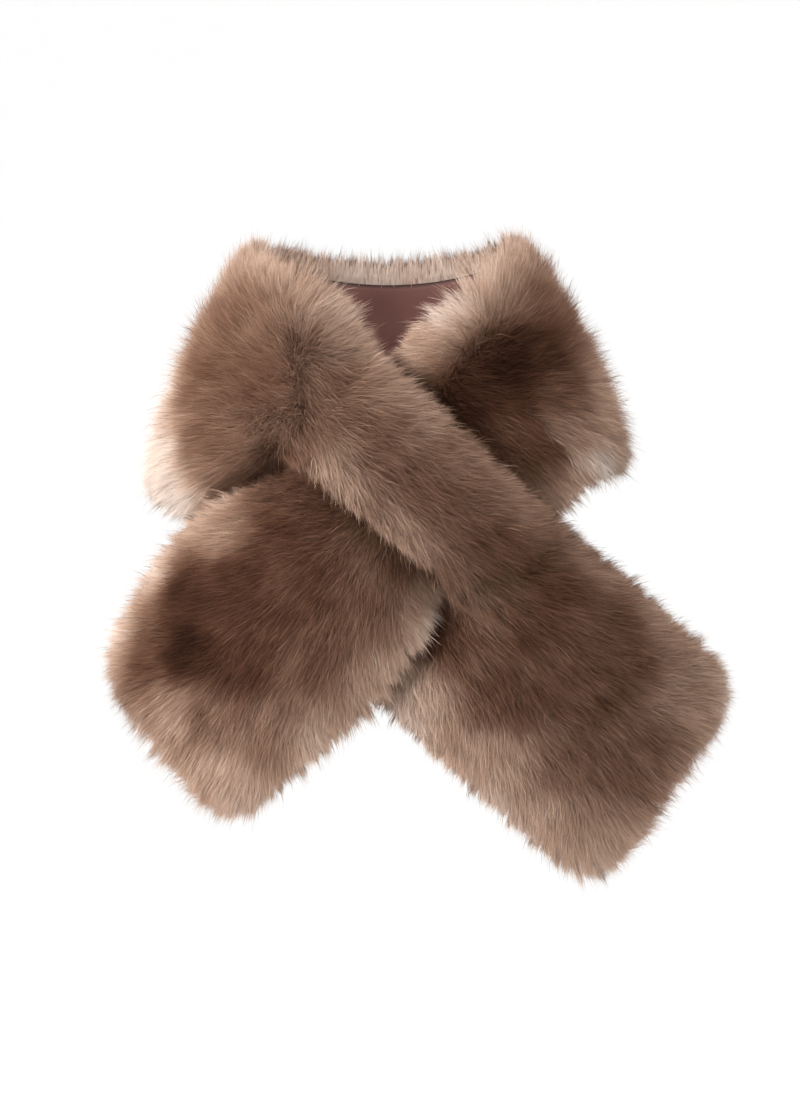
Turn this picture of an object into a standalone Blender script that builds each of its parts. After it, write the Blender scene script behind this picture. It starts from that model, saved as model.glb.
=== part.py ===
"""Shearling scarf, worn with one end pulled through the slit in the other.

Metres, +Z up, front faces -Y. The origin is on the inner face, at the nape.
Lengths below are in millimetres and angles in degrees, and MM turns them to metres.
"""

import math

import bmesh
import bpy
from mathutils import Vector

MM = 0.001

# Cloth: the skin with its pile, and the satin behind it
PILE = 23.0
EDGE_HEIGHT = 6.5
LEAST_THICKNESS = 1.2
SKIN_OVERHANG = 20.0
LINING = 1.0
GAP = 0.3
LAYER = LINING + 2 * GAP + 0.4
EDGE_RISE = 5.0
EDGE_ROUND = 14.0
ARCH_POWER = 2.6
END_POWER = 2.5
END_THINS = 18.0

# Where the slit lies, seen from the front
SLIT_X = -10.7
SLIT_Z = -96.8
SLIT_LENGTH = 134.0
SLIT_FALL = 40.2
SLIT_CLOSES = (16.0, 1.0)
LIP_ROUND = 15.0
LIP_PILE = 11.0
LIP_LEAST_SHARE = 0.15

# How the slit end goes over the pulled end and under it, past the pulled end's edges
STRAP_EASE = 0.8
OVER_FROM = 2.0
OVER_SLOPE = 0.6
UNDER_SLOPE = 1.2
PRESSED_SLOPE = 1.1

# The chest that the ends hang over, and the nape that the scarf rests on
CHEST_Y = -72.0
CHEST_RADIUS = 400.0
CHEST_LEAN = 0.08
NAPE_Y = 75.0 - LINING - GAP

# Sections
STEP = 6.5
NECK_STEP = 7.0
HALF_COLUMNS = 7
SLIT_STEPS = 22
TIP = 26.0
TIP_STEPS = 7
TIP_FLAT = 0.4
MEASURES = 400

# The slit end: u along the slit, v across it, upward. The edges of the fur
SLIT_END_LENGTH = 254.0
SLIT_END_ROUND = 36.0
SLIT_END_SKEW = (100.0, 240.0, -0.05)
SLIT_END_SEAM = -72.0
SLIT_END = (
    # u, upper, lower
    (-90.0, 88.0, -71.0),
    (-72.0, 87.0, -73.0),
    (0.0, 83.0, -80.0),
    (76.0, 79.0, -83.0),
    (138.0, 79.0, -86.0),
    (254.0, 76.0, -87.0),
)

# The pulled end: its edges along u at each v, how far it is lifted off the chest,
# its pile there, and the height of its edge
PULL_END_LENGTH = 194.0
PULL_END_ROUND = 38.0
PULL_END_SKEW = (80.0, 180.0, -0.16)
PULL_END_LEVEL = -25.0
PULL_END_SEAM = 112.0
PULL_SPLIT = 44.0
PULL_END = (
    # v, left, right, lift, pile, edge
    (-196.0, -74.0, 60.0, 0.0, 23.0, 6.5),
    (-150.0, -81.0, 64.0, 0.5, 24.0, 6.5),
    (-115.0, -86.0, 70.0, 6.0, 24.0, 6.5),
    (-85.0, -87.0, 74.0, 11.0, 24.0, 6.5),
    (-60.0, -85.0, 75.0, 12.0, 24.0, 6.5),
    (-30.0, -75.0, 72.0, 10.5, 22.0, 5.0),
    (-12.0, -65.0, 65.0, 7.0, 17.0, 2.5),
    (0.0, -63.5, 63.5, 3.0, 12.5, 2.0),
    (12.0, -64.0, 65.0, 0.0, 12.0, 2.0),
    (40.0, -62.0, 79.0, -4.5, 12.0, 2.0),
    (84.0, -61.0, 90.0, -5.0, 13.0, 2.5),
    (98.0, -60.0, 91.0, -3.0, 18.5, 5.0),
    (112.0, -59.5, 91.0, -1.0, 22.0, 6.5),
    (130.0, -57.0, 90.0, 0.0, 23.0, 6.5),
)

# Round the neck, from the slit end's seam to the nape and on to the pulled end's:
# the middle of the skin, the way across it, the way out of it, and its half width
NECK = (
    # knot, x, y, z, across x, y, z, out x, y, z, half width
    (0.0, -61.2, -62.9, -43.4, 0.646, -0.04, 0.763, 0.0, -1.0, 0.0, 80.0),
    (1.0, -81.5, -52.0, -20.8, 0.59, -0.04, 0.806, -0.36, -0.93, 0.2, 88.0),
    (2.0, -103.0, -29.0, -9.0, 0.46, -0.02, 0.885, -0.8, -0.55, 0.35, 85.0),
    (3.0, -111.0, 2.0, 0.0, 0.38, 0.0, 0.925, -0.925, 0.0, 0.38, 86.0),
    (4.0, -101.0, 34.0, 4.0, 0.28, -0.08, 0.95, -0.75, 0.62, 0.27, 84.0),
    (5.0, -72.0, 60.0, 2.0, 0.14, -0.18, 0.97, -0.4, 0.9, 0.2, 80.0),
    (6.0, -36.0, 72.0, 0.0, 0.05, -0.23, 0.97, -0.14, 0.96, 0.24, 77.0),
    (7.0, 0.0, 75.0, -1.0, 0.0, -0.25, 0.968, 0.0, 0.968, 0.25, 76.0),
    (8.0, 36.0, 72.0, 0.0, -0.05, -0.23, 0.97, 0.14, 0.96, 0.24, 77.0),
    (9.0, 72.0, 60.0, 3.0, -0.16, -0.18, 0.97, 0.4, 0.9, 0.2, 80.0),
    (10.0, 99.0, 34.0, 8.0, -0.32, -0.08, 0.94, 0.75, 0.62, 0.27, 83.0),
    (11.0, 108.2, 2.0, 9.8, -0.42, 0.0, 0.907, 0.907, 0.0, 0.42, 83.0),
    (12.0, 103.0, -28.0, 2.7, -0.52, -0.02, 0.85, 0.8, -0.55, 0.35, 79.0),
    (13.0, 91.0, -50.0, -9.5, -0.64, -0.04, 0.765, 0.36, -0.93, 0.2, 77.0),
    (14.0, 73.5, -60.4, -21.2, -0.763, -0.06, 0.646, 0.0, -1.0, 0.0, 75.3),
)
NECK_SEAMS = (0.0, 4.5, 9.5, 14.0)
NECK_NAMES = ("neck_left", "neck_back", "neck_right")
FRONT_KNOT = 1.0
SIDE_KNOT = 4.0
SAG = 3.2
SAG_HALF_WIDTH = 80.0

FUR_COLOUR = (0.19, 0.12, 0.085, 1.0)
FUR_ROUGHNESS = 0.95
SATIN_COLOUR = (0.075, 0.035, 0.028, 1.0)
SATIN_ROUGHNESS = 0.42

FALL = math.radians(SLIT_FALL)
ALONG = (math.cos(FALL), -math.sin(FALL))
ACROSS = (math.sin(FALL), math.cos(FALL))
BACK = Vector((0.0, 1.0, 0.0))


def smooth(low, high, x):
    t = min(max((x - low) / (high - low), 0.0), 1.0)
    return t * t * (3.0 - 2.0 * t)


def slope(rows, i, column):
    a = max(i - 1, 0)
    b = min(i + 1, len(rows) - 1)
    return (rows[b][column] - rows[a][column]) / (rows[b][0] - rows[a][0])


def read(rows, x):
    """The values after the first in a row, at x, on smooth curves through the rows."""
    last = len(rows) - 1
    x = min(max(x, rows[0][0]), rows[last][0])
    i = 0
    while i < last - 1 and rows[i + 1][0] < x:
        i += 1
    h = rows[i + 1][0] - rows[i][0]
    t = (x - rows[i][0]) / h
    rise = t * t * (3.0 - 2.0 * t)
    values = []
    for c in range(1, len(rows[0])):
        p, q = rows[i][c], rows[i + 1][c]
        m, n = slope(rows, i, c) * h, slope(rows, i + 1, c) * h
        d = q - p
        if m * d <= 0.0 and n * d <= 0.0:
            m = n = 0.0
        values.append(p + d * rise + m * t * (1 - t) ** 2 - n * t * t * (1 - t))
    return values


def arch(x):
    """One in the middle of a width, zero at its edges."""
    return math.sqrt(max(0.0, 1.0 - min(abs(x), 1.0) ** ARCH_POWER))


def spread(count):
    """Shares of a width, closer together at both edges."""
    return [(1.0 - math.cos(math.pi * i / count)) / 2.0 for i in range(count + 1)]


def chest(u, v, n):
    """The point n off the chest, at u and v."""
    x = SLIT_X + ALONG[0] * u + ACROSS[0] * v
    z = SLIT_Z + ALONG[1] * u + ACROSS[1] * v
    y = CHEST_Y + x * x / (2.0 * CHEST_RADIUS) + CHEST_LEAN * (z - SLIT_Z)
    return Vector((x, y - n - NAPE_Y, z)) * MM


def off_chest(point):
    """u, v and n of a point."""
    x, y, z = point.x / MM, point.y / MM + NAPE_Y, point.z / MM
    u = ALONG[0] * (x - SLIT_X) + ALONG[1] * (z - SLIT_Z)
    v = ACROSS[0] * (x - SLIT_X) + ACROSS[1] * (z - SLIT_Z)
    return u, v, chest(u, v, 0.0).y / MM - point.y / MM


def pull_skin(u, v):
    """The pulled end's skin and the top of its pile, off the chest, and how far u is past it."""
    left, right, lift, pile, edge = read(PULL_END, v)
    middle, half = (left + right) / 2.0, (right - left) / 2.0
    s = (u - middle) / half
    past = max(abs(s) - 1.0, 0.0) * half
    s = min(max(s, -1.0), 1.0)
    skin = lift * (1.0 - smooth(PULL_END_LEVEL, 0.0, v) * s**4)
    full = arch(s)
    return skin, skin + pile * full + edge * (1.0 - full), past


def under_pull(v, u):
    """How high the pile of what lies under the pulled end can stand."""
    skin, _, past = pull_skin(u, v)
    return skin - LAYER + PRESSED_SLOPE * past


def slit_share(u):
    """One along the slit, zero past its ends."""
    far, near = SLIT_CLOSES
    return 1.0 - smooth(SLIT_LENGTH / 2 - far, SLIT_LENGTH / 2 - near, abs(u))


def slit_skin(u, v):
    """The slit end's skin, off the chest: over the pulled end above the slit, under it below."""
    skin, top, past = pull_skin(u, v)
    if v > 0.0:
        return max(0.0, top + LAYER + STRAP_EASE - OVER_SLOPE * max(past - OVER_FROM, 0.0))
    under = LIP_PILE * (LIP_LEAST_SHARE + (1.0 - LIP_LEAST_SHARE) * slit_share(u))
    return min(0.0, skin - LAYER - under + UNDER_SLOPE * past)


def rim(x, half):
    """How far the underside of the fur rises, x from the middle."""
    return smooth(half - EDGE_ROUND, half, abs(x)) * EDGE_RISE


def end_share(left, length):
    """How wide the cloth is, this far from a rounded end."""
    t = min(max(left / length, 0.0), 1.0)
    return (1.0 - (1.0 - t) ** END_POWER) ** (1.0 / END_POWER)


def lip_share(v):
    """How much of its pile the slit end has, this far from the slit."""
    return math.sqrt(1.0 - (1.0 - min(abs(v) / LIP_ROUND, 1.0)) ** END_POWER)


def slit_point(u, share, upper):
    """The lower and the upper point at a share of one side of the slit end, from edge to lip."""
    high, low = read(SLIT_END, u)
    left = SLIT_END_LENGTH - u
    middle = (high + low) / 2.0
    half = (high - low) / 2.0 * end_share(left, SLIT_END_ROUND)
    thin = math.sqrt(end_share(left, END_THINS))
    side = 1.0 if upper else -1.0
    edge = middle + side * half
    lip = side * min(GAP, abs(edge) / 2.0)
    v = edge + (lip - edge) * share
    skew_from, skew_to, skew = SLIT_END_SKEW
    along = u + smooth(skew_from, skew_to, u) * skew * (v - middle)
    skin = slit_skin(u, v)
    full = arch((v - middle) / max(half, 1.0)) * (1.0 - slit_share(u) * (1.0 - lip_share(v)))
    top = skin + (PILE * full + EDGE_HEIGHT * (1.0 - full)) * thin
    low_side = skin + rim(v - middle, half) * thin
    if v < 0.0:
        top = min(top, under_pull(v, u))
    low_side = min(low_side, top - LEAST_THICKNESS)
    return chest(along, v, low_side), chest(along, v, top)


def pull_point(v, share):
    """The lower and the upper point of the pulled end at a share of its width."""
    left, right, _, pile, edge = read(PULL_END, v)
    middle = (left + right) / 2.0
    to_end = PULL_END_LENGTH + v
    half = (right - left) / 2.0 * end_share(to_end, PULL_END_ROUND)
    thin = math.sqrt(end_share(to_end, END_THINS))
    u = middle + half * (2.0 * share - 1.0)
    skew_from, skew_to, skew = PULL_END_SKEW
    across = v + smooth(skew_from, skew_to, -v) * skew * (u - middle)
    skin = pull_skin(u, v)[0]
    full = arch((u - middle) / half)
    top = skin + (pile * full + edge * (1.0 - full)) * thin
    rise = rim(u - middle, half) * min(edge / EDGE_HEIGHT, 1.0) * thin
    low_side = min(skin + rise, top - LEAST_THICKNESS)
    return chest(u, across, low_side), chest(u, across, top)


def neck_frame(at):
    """The middle of the skin round the neck, the ways across and out of it, and its half width."""
    row = read(NECK, at)
    centre = Vector(row[0:3]) - Vector((0.0, NAPE_Y, 0.0))
    across = Vector(row[3:6]).normalized()
    out = Vector(row[6:9])
    out = (out - across * out.dot(across)).normalized()
    return centre, across, out, row[9]


def neck_point(at, share):
    """The lower and the upper point round the neck at a share of the width."""
    centre, across, out, half = neck_frame(at)
    w = half * (2.0 * share - 1.0)
    skin = centre + across * w - out * SAG * (w / SAG_HALF_WIDTH) ** 2
    full = arch(w / half)
    top = (skin + out * (PILE * full + EDGE_HEIGHT * (1.0 - full))) * MM
    low_side = (skin + out * rim(w, half)) * MM
    if at < SIDE_KNOT:
        top = pressed(top)
    if at < FRONT_KNOT:
        low_side.y = max(low_side.y, top.y + LEAST_THICKNESS * MM)
    return low_side, top


def pressed(top):
    """A point of the fur, moved back to where the pulled end lies on it."""
    u, v, n = off_chest(top)
    if v > 0.0 or u > 0.0:
        return top
    limit = under_pull(v, u)
    if n > limit:
        top = top + Vector((0.0, (n - limit) * MM, 0.0))
    return top


def stations(start, end, step):
    """Places from start to end, a gap's half inside each."""
    side = 1.0 if end > start else -1.0
    start += side * GAP / 2.0
    end -= side * GAP / 2.0
    count = max(2, round(abs(end - start) / step))
    return [start + (end - start) * i / count for i in range(count + 1)]


def toward_end(start, end):
    """Places from a seam to a rounded end, closer together at the end."""
    side = 1.0 if end > start else -1.0
    places = stations(start, end - side * TIP, STEP)
    places[-1] = end - side * TIP
    for i in range(1, TIP_STEPS + 1):
        left = TIP * (1.0 - i / TIP_STEPS) ** 2
        places.append(end - side * (left + TIP_FLAT))
    return places


def material(name, colour, roughness):
    made = bpy.data.materials.new(name)
    made.use_nodes = True
    shader = made.node_tree.nodes["Principled BSDF"]
    shader.inputs["Base Color"].default_value = colour
    shader.inputs["Roughness"].default_value = roughness
    shader.inputs["Metallic"].default_value = 0.0
    return made


def solid(name, sections, colour, roughness, slit=()):
    """A closed solid from sections of (lower, upper) points.

    The sections numbered in slit are cut between their two middle columns.
    """
    mesh = bmesh.new()
    grid = [[[mesh.verts.new(p) for p in pair] for pair in row] for row in sections]
    columns = len(sections[0])
    middle = columns // 2 - 1
    last = len(grid) - 1
    for i in range(last):
        a, b = grid[i], grid[i + 1]
        cut = i in slit and i + 1 in slit
        for j in range(columns - 1):
            if cut and j == middle:
                continue
            mesh.faces.new((a[j][1], b[j][1], b[j + 1][1], a[j + 1][1]))
            mesh.faces.new((a[j][0], a[j + 1][0], b[j + 1][0], b[j][0]))
        walls = [0, columns - 1] + ([middle, middle + 1] if cut else [])
        for j in walls:
            mesh.faces.new((a[j][0], b[j][0], b[j][1], a[j][1]))
    for i in (0, last):
        for j in range(columns - 1):
            a, b = grid[i][j], grid[i][j + 1]
            mesh.faces.new((a[0], a[1], b[1], b[0]))
    if slit:
        for i in (min(slit), max(slit)):
            a, b = grid[i][middle], grid[i][middle + 1]
            mesh.faces.new((a[0], a[1], b[1], b[0]))
    bmesh.ops.recalc_face_normals(mesh, faces=mesh.faces)
    data = bpy.data.meshes.new(name)
    mesh.to_mesh(data)
    mesh.free()
    made = bpy.data.objects.new(name, data)
    data.materials.append(material(name, colour, roughness))
    bpy.context.scene.collection.objects.link(made)
    return made


def backed(name, sections, inward, cut_edges, slit=()):
    """The fur solid, and the lining made from the points of its skin, moved inward."""
    solid(name, sections, FUR_COLOUR, FUR_ROUGHNESS, slit)
    backing = []
    for row, way in zip(sections, inward):
        skin = [pair[0] for pair in row[cut_edges:-cut_edges]]
        backing.append([(p + way * (GAP + LINING) * MM, p + way * GAP * MM) for p in skin])
    solid("lining_" + name, backing, SATIN_COLOUR, SATIN_ROUGHNESS, slit)


def build_slit_end(name):
    columns = spread(HALF_COLUMNS)
    half_slit = SLIT_LENGTH / 2.0
    places = stations(SLIT_END_SEAM, -half_slit, STEP)[:-1]
    first = len(places)
    places += [half_slit * (2.0 * t / SLIT_STEPS - 1.0) for t in range(SLIT_STEPS + 1)]
    slit = set(range(first, len(places)))
    places += toward_end(half_slit, SLIT_END_LENGTH)[1:]
    sections = []
    for u in places:
        lower = [slit_point(u, t, False) for t in columns]
        upper = [slit_point(u, t, True) for t in reversed(columns)]
        sections.append(lower + upper)
    kept = sum(u < SLIT_END_LENGTH - SKIN_OVERHANG for u in places)
    backed(name, sections, [BACK] * kept, 2, slit)


def build_pull(name, start, end, has_tip):
    columns = spread(2 * HALF_COLUMNS - 1)
    places = toward_end(start, end) if has_tip else stations(start, end, STEP)
    sections = [[pull_point(v, t) for t in columns] for v in places]
    kept = sum(v > SKIN_OVERHANG - PULL_END_LENGTH for v in places)
    backed(name, sections, [BACK] * kept, 3)


def build_neck(name, start, end):
    columns = spread(2 * HALF_COLUMNS - 1)
    places = neck_places(start, end)
    sections = [[neck_point(at, t) for t in columns] for at in places]
    inward = [-neck_frame(at)[2] for at in places]
    backed(name, sections, inward, 3)


def neck_places(start, end):
    """Places between two knots of NECK, about NECK_STEP apart, half a gap inside each."""
    knots = [start + (end - start) * i / MEASURES for i in range(MEASURES + 1)]
    points = [Vector(read(NECK, k)[0:3]) for k in knots]
    run = [0.0]
    for a, b in zip(points, points[1:]):
        run.append(run[-1] + (b - a).length)
    steps = max(2, round(run[-1] / NECK_STEP))
    places = []
    i = 0
    for step in range(steps + 1):
        wanted = GAP / 2.0 + (run[-1] - GAP) * step / steps
        while i < MEASURES - 1 and run[i + 1] < wanted:
            i += 1
        t = (wanted - run[i]) / (run[i + 1] - run[i])
        places.append(knots[i] + (knots[i + 1] - knots[i]) * t)
    return places


def main():
    for old in list(bpy.data.objects):
        bpy.data.objects.remove(old)
    build_slit_end("slit_end")
    for name, start, end in zip(NECK_NAMES, NECK_SEAMS, NECK_SEAMS[1:]):
        build_neck(name, start, end)
    build_pull("pull_front", PULL_END_SEAM, PULL_SPLIT, False)
    build_pull("pull_tail", PULL_SPLIT, -PULL_END_LENGTH, True)


main()
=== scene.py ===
"""Shearling scarf worn with one end pulled through the slit in the other: its fur, its
satin lining and the stage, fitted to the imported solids.

Sections are worked out in millimetres and degrees, and made in metres."""

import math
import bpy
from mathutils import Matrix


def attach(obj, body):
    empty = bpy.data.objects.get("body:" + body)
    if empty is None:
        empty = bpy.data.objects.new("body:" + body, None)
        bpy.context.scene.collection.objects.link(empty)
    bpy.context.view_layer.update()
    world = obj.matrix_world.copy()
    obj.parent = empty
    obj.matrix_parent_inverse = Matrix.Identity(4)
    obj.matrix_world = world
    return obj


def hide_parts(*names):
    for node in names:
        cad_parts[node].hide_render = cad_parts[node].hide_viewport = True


bl_info = {
    "name": "Pull-through shearling scarf",
    "version": (1, 0, 0),
    "blender": (4, 5, 0),
    "location": "View3D > Sidebar > Scarf",
    "description": "Builds the fur, the satin lining and the stage of a pull-through scarf",
    "category": "Add Mesh",
}

import bpy
import numpy as np
from mathutils import Vector
from mathutils.kdtree import KDTree

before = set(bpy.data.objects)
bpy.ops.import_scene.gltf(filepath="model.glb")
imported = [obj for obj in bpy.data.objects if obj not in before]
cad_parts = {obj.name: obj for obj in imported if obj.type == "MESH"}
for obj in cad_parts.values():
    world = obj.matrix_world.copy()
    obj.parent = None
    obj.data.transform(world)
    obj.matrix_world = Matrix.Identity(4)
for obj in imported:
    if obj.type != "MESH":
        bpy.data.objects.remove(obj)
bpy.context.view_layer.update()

MM = 0.001

# Cloth: the skin with its pile, and the satin behind it
PILE = 23.0
EDGE_HEIGHT = 6.5
LEAST_THICKNESS = 1.2
OVERHANG = 11.0
LINING = 1.0
GAP = 0.3
LAYER = LINING + 2 * GAP + 0.4
EDGE_RISE = 5.0
EDGE_ROUND = 14.0
ARCH_POWER = 2.6
END_POWER = 2.5
END_THINS = 18.0

# Where the slit lies, seen from the front
SLIT_X = -10.7
SLIT_Z = -96.8
SLIT_LENGTH = 134.0
SLIT_FALL = 40.2
SLIT_CLOSES = (16.0, 1.0)
LIP_ROUND = 15.0
LIP_PILE = 11.0
LIP_LEAST_SHARE = 0.15

# How the slit end goes over the pulled end and under it, past the pulled end's edges
STRAP_EASE = 0.8
OVER_FROM = 2.0
OVER_SLOPE = 0.6
UNDER_SLOPE = 1.2
PRESSED_SLOPE = 1.1
PRESSED_ROOTS = 4.0

# The chest that the ends hang over, and the nape that the scarf rests on
CHEST_Y = -72.0
CHEST_RADIUS = 400.0
CHEST_LEAN = 0.08
NAPE_Y = 75.0 - LINING - GAP

# The slit end: u along the slit, v across it, upward. The edges of the fur
SLIT_END_LENGTH = 254.0
SLIT_END_ROUND = 36.0
SLIT_END_SKEW = (100.0, 240.0, -0.05)
SLIT_END_SEAM = -72.0
SLIT_END = (
    # u, upper edge, lower edge
    (-90.0, 88.0, -71.0),
    (-72.0, 87.0, -73.0),
    (0.0, 83.0, -80.0),
    (76.0, 79.0, -83.0),
    (138.0, 79.0, -86.0),
    (254.0, 76.0, -87.0),
)

# The pulled end: its edges along u at each v, how far it is lifted off the chest, its pile
# there, and the height of its edge
PULL_END_LENGTH = 194.0
PULL_END_ROUND = 38.0
PULL_END_SKEW = (80.0, 180.0, -0.16)
PULL_END_LEVEL = -25.0
PULL_END_SEAM = 112.0
PULL_SPLIT = 44.0
PULL_END = (
    # v, left, right, lift, pile, edge
    (-196.0, -74.0, 60.0, 0.0, 23.0, 6.5),
    (-150.0, -81.0, 64.0, 0.5, 24.0, 6.5),
    (-115.0, -86.0, 70.0, 6.0, 24.0, 6.5),
    (-85.0, -87.0, 74.0, 11.0, 24.0, 6.5),
    (-60.0, -85.0, 75.0, 12.0, 24.0, 6.5),
    (-30.0, -75.0, 72.0, 10.5, 22.0, 5.0),
    (-12.0, -65.0, 65.0, 7.0, 17.0, 2.5),
    (0.0, -63.5, 63.5, 3.0, 12.5, 2.0),
    (12.0, -64.0, 65.0, 0.0, 12.0, 2.0),
    (40.0, -62.0, 79.0, -4.5, 12.0, 2.0),
    (84.0, -61.0, 90.0, -5.0, 13.0, 2.5),
    (98.0, -60.0, 91.0, -3.0, 18.5, 5.0),
    (112.0, -59.5, 91.0, -1.0, 22.0, 6.5),
    (130.0, -57.0, 90.0, 0.0, 23.0, 6.5),
)

# Round the neck, from the slit end's seam to the nape and on to the pulled end's: the middle
# of the skin, the way across it, the way out of it, and its half width
NECK = (
    # knot, middle x, y, z, across x, y, z, out x, y, z, half width
    (0, -61.2, -62.9, -43.4, 0.646, -0.04, 0.763, 0.0, -1.0, 0.0, 80.0),
    (1, -81.5, -52.0, -20.8, 0.59, -0.04, 0.806, -0.36, -0.93, 0.2, 88.0),
    (2, -103.0, -29.0, -9.0, 0.46, -0.02, 0.885, -0.8, -0.55, 0.35, 85.0),
    (3, -111.0, 2.0, 0.0, 0.38, 0.0, 0.925, -0.925, 0.0, 0.38, 86.0),
    (4, -101.0, 34.0, 4.0, 0.28, -0.08, 0.95, -0.75, 0.62, 0.27, 84.0),
    (5, -72.0, 60.0, 2.0, 0.14, -0.18, 0.97, -0.4, 0.9, 0.2, 80.0),
    (6, -36.0, 72.0, 0.0, 0.05, -0.23, 0.97, -0.14, 0.96, 0.24, 77.0),
    (7, 0.0, 75.0, -1.0, 0.0, -0.25, 0.968, 0.0, 0.968, 0.25, 76.0),
    (8, 36.0, 72.0, 0.0, -0.05, -0.23, 0.97, 0.14, 0.96, 0.24, 77.0),
    (9, 72.0, 60.0, 3.0, -0.16, -0.18, 0.97, 0.4, 0.9, 0.2, 80.0),
    (10, 99.0, 34.0, 8.0, -0.32, -0.08, 0.94, 0.75, 0.62, 0.27, 83.0),
    (11, 108.2, 2.0, 9.8, -0.42, 0.0, 0.907, 0.907, 0.0, 0.42, 83.0),
    (12, 103.0, -28.0, 2.7, -0.52, -0.02, 0.85, 0.8, -0.55, 0.35, 79.0),
    (13, 91.0, -50.0, -9.5, -0.64, -0.04, 0.765, 0.36, -0.93, 0.2, 77.0),
    (14, 73.5, -60.4, -21.2, -0.763, -0.06, 0.646, 0.0, -1.0, 0.0, 75.3),
)
NECK_SEAMS = {"neck_left": (0.0, 4.5), "neck_back": (4.5, 9.5), "neck_right": (9.5, 14.0)}
FRONT_KNOT = 1.0
SIDE_KNOT = 4.0
SAG = 3.2
SAG_HALF_WIDTH = 80.0

PANELS = ("slit_end", "neck_left", "neck_back", "neck_right", "pull_front", "pull_tail")
LOOSE = ("neck_left", "neck_back", "neck_right", "pull_tail")

# The grids that the fur stands on: their spacing, their columns, how far a column underneath
# is past the edge, and how far the grids go past the seams and stop short of the ends
GRID = 3.5
COLUMNS = 49
LIP_COLUMNS = 27
EDGE_COLUMNS = 4
NECK_ROWS = 45
UNDERSIDE = 0.2
LEAST_HALF_WIDTH = 20.0
LIP = 0.004
SEAM_OVERLAP = 2.0
END_SHORT = 0.5
END_CROWDING = 1.25

# Where the roots stand: in from the edges and the ends, and up from the skin
INSET = 8.0
END_INSET = 10.0
END_INSET_FROM = 50.0
ROOT_DEPTH = 0.56
LOW_ROOTS = 2.0

# The meshes of hair on each panel, and the hairs in each mesh
HAIRS = (
    # panel, meshes, fine hairs, long hairs
    ("slit_end", 2, 100000, 16000),
    ("pull_tail", 2, 75000, 12000),
    ("pull_front", 1, 28000, 4000),
    ("neck_left", 1, 90000, 16000),
    ("neck_back", 1, 62000, 9000),
    ("neck_right", 1, 70000, 14000),
)

# Hairs: how far their lengths and widths vary, how far their ways do, and how much further
# long ones stray past the outline and above the pile
LENGTHS = (0.65, 1.1)
WIDTHS = (0.6, 1.25)
LEAST_LENGTH = 0.4
LONG_LENGTH = 0.25
LEAST_LIE = 0.4
RISE = 1.1
RISE_LESS = (0.35, 0.3)
UPRIGHT_RISE = 0.3
BEND_REACH = 0.45
BEND_RISE = 0.75
BEND_WIDTH = 0.42
TUFT_SIZE = 0.013
TUFT_SEEDS = (21, 22, 23)
TUFT_LEAN = 0.13
WILDNESS = (0.12, 0.08)
WISPINESS = (0.5, 1.1)
STRAYING = (0.25, 0.75)
TURN = 0.3
SOFTNESS = 0.12
UNDERSIDE_SHARE = 0.5
NECK_RIM = (0.85, 12.0)
NEAR_EDGE = (0.7, 1.0)
NEAR_END = (0.02, 0.0)

# Locks: how strongly hairs are drawn into them, and how much of its own place a hair keeps
LOCK_PULL = (0.6, 1.2)
MOST_PULL = 0.9
LOCK_SPREAD = 0.25
LOCK_BEND = 0.35

# The colour map: half the width of a hair on it, and how far up it roots and tips lie
MAP_HALF_WIDTH = 0.001
MAP_ENDS = (0.02, 0.98)
PALE_FROM = (0.6, 0.9)
PALE_LIFT = 0.5
# The undercoat takes the colour three quarters up a hair, so it carries some of that painted shade.
UNDERCOAT_REACH = 0.75
PILE_SHADES = (0.02, 0.98)
HAIR_SHADES = (0.01, 0.99)
UNDERCOAT_ROUGHNESS = 0.9
HAIR_ROUGHNESS = 0.62

# Slow changes in the way that the pile lies and in its shade: size, strength and seed
AHEAD_WAVE = (0.06, 0.1, 2)
SIDE_WAVE = (0.06, 0.16, 3)
SHADE_WAVES = ((0.05, 0.03, 11), (0.018, 0.03, 12))
UNDERCOAT_WAVE = (0.01, 0.08, 5)
WAVES = 7
WAVE_SIZES = (0.6, 1.5)
WAVE_TOTAL = 2.6
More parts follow.
